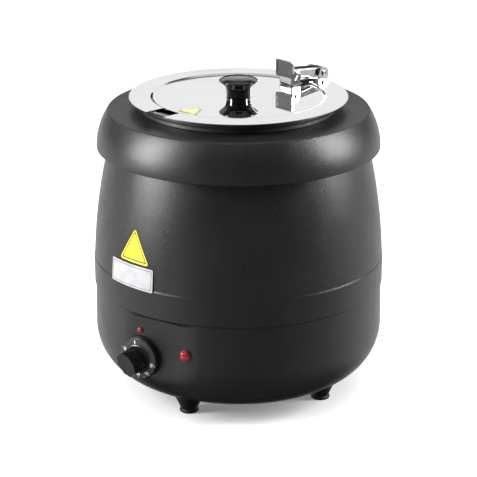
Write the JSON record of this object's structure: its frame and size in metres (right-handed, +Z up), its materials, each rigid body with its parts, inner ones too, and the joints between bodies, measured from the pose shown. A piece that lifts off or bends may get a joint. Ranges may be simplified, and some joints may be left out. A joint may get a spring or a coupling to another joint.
{
  "type": "soup kettle",
  "caption": "Electric wet-heat soup kettle: round black body with rolled collar, lift-out steel pot, hinged notched lid, control dial and short feet.",
  "frame": {"origin": "on the standing surface, under the axis of the kettle", "axes": "+Z up along the kettle axis; the control flat with its dial faces -Y; +X to the right of the controls"},
  "size_m": [0.3394, 0.391, 0.379],
  "materials": {
    "black_paint": "fine textured powder coat",
    "black_rubber": "matte",
    "satin_steel": "satin",
    "polished_steel": "mirror polished",
    "galvanised": "zinc plated",
    "glass_wool": "loose fibre",
    "white_ceramic": "matte",
    "brass": "plain brass",
    "brown_wire": "sleeving",
    "blue_wire": "sleeving",
    "green_wire": "sleeving",
    "silver_film": "satin film",
    "yellow_film": "printed film",
    "black_plastic": "moulded",
    "red_lens": "translucent red"
  },
  "bodies": {
    "housing": {"outer_shell": "black_paint", "top_collar": "black_paint", "neck_seal": "black_rubber", "water_vessel": "satin_steel", "insulation_jacket": "glass_wool", "base_plate": "galvanised", "heater_element": "satin_steel", "heater_clamp": "galvanised", "clamp_stud": "galvanised", "thermostat_body": "white_ceramic", "sensor_bulb": "brass", "capillary_tube": "brass", "thermal_cutout": "white_ceramic", "terminal_block": "white_ceramic", "earth_stud": "brass", "live_wire": "brown_wire", "neutral_wire": "blue_wire", "lamp_wire": "green_wire", "badge_plate": "silver_film", "caution_label": "yellow_film", "cable_gland": "black_plastic", "gland_nut": "black_plastic", "foot_front": "black_rubber", "foot_screw_front": "galvanised", "base_screw_front": "galvanised", "foot_right": "black_rubber", "foot_screw_right": "galvanised", "base_screw_right": "galvanised", "foot_rear": "black_rubber", "foot_screw_rear": "galvanised", "base_screw_rear": "galvanised", "foot_left": "black_rubber", "foot_screw_left": "galvanised", "base_screw_left": "galvanised", "thermostat_screw_left": "galvanised", "thermostat_screw_right": "galvanised", "pilot_lens": "red_lens", "pilot_body": "white_ceramic", "index_lens": "red_lens"},
    "dial": {"dial_knob": "black_plastic", "thermostat_shaft": "satin_steel"},
    "pot": {"soup_pot": "satin_steel", "rim_clip": "polished_steel", "outer_pin": "satin_steel"},
    "arm": {"hinge_arm": "polished_steel"},
    "lid": {"lid_plate": "polished_steel", "lid_bracket": "polished_steel", "inner_pin": "satin_steel", "bracket_rivet_left": "satin_steel", "bracket_rivet_right": "satin_steel", "lid_knob": "black_plastic", "knob_washer": "satin_steel", "knob_screw": "satin_steel", "lid_label": "yellow_film"}
  },
  "joints": [
    {"name": "pot_lift", "type": "slide", "parent": "housing", "child": "pot", "axis": [0, 0, 1], "range_m": [0, 0.26]},
    {"name": "lid_swing", "type": "hinge", "parent": "pot", "child": "arm", "pos_m": [0.03287, 0.12267, 0.357], "axis": [-0.9659, 0.2588, 0], "range_deg": [0, 98]},
    {"name": "lid_fold", "type": "hinge", "parent": "arm", "child": "lid", "pos_m": [0.02122, 0.07921, 0.363], "axis": [-0.9659, 0.2588, 0], "range_deg": [0, 8]},
    {"name": "dial_turn", "type": "hinge", "parent": "housing", "child": "dial", "pos_m": [-0.025, -0.1635, 0.079], "axis": [0, 1, 0], "range_deg": [0, 250]}
  ],
  "couplings": [
    {"joint": "lid_fold", "follows": "lid_swing", "ratio": 0.08}
  ]
}
